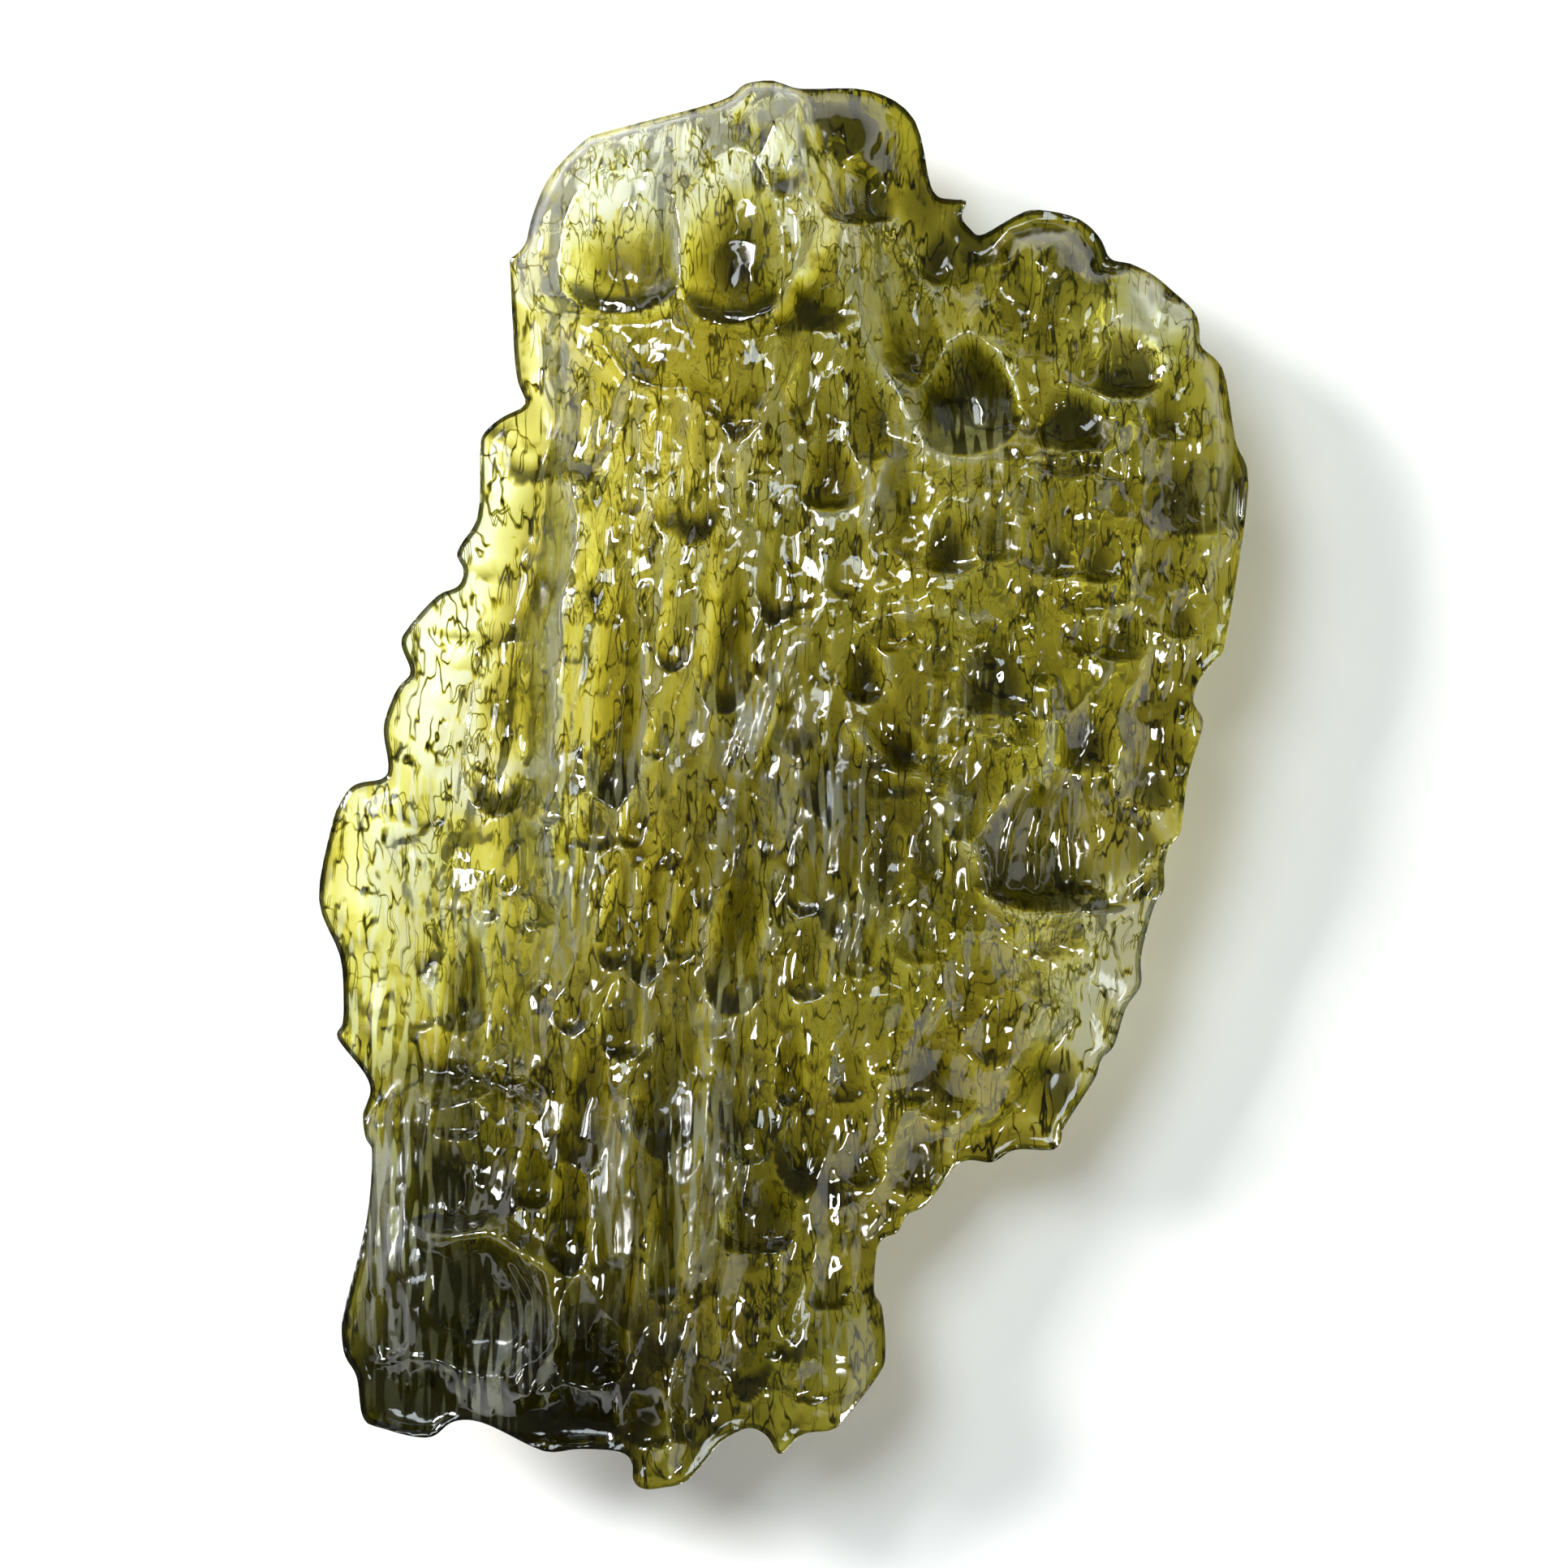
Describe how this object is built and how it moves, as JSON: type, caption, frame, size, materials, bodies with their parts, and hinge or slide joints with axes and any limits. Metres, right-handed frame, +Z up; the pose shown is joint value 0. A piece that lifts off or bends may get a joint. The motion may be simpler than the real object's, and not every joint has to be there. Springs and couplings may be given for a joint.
{
  "type": "moldavite tektite",
  "caption": "Flat piece of natural green glass with a pitted and furrowed skin and a thin scalloped rim, lying on its back.",
  "frame": {"origin": "middle of the underside of the stone's box, on the surface that it lies on", "axes": "+Z up out of the sculpted face, +Y along the length towards the boss, +X towards the broad shoulder"},
  "size_m": [0.0198, 0.0298, 0.0066],
  "materials": {
    "moldavite_glass": "clear olive green natural glass, pitted and silky"
  },
  "bodies": {
    "root": {"moldavite": "moldavite_glass"}
  },
  "joints": []
}
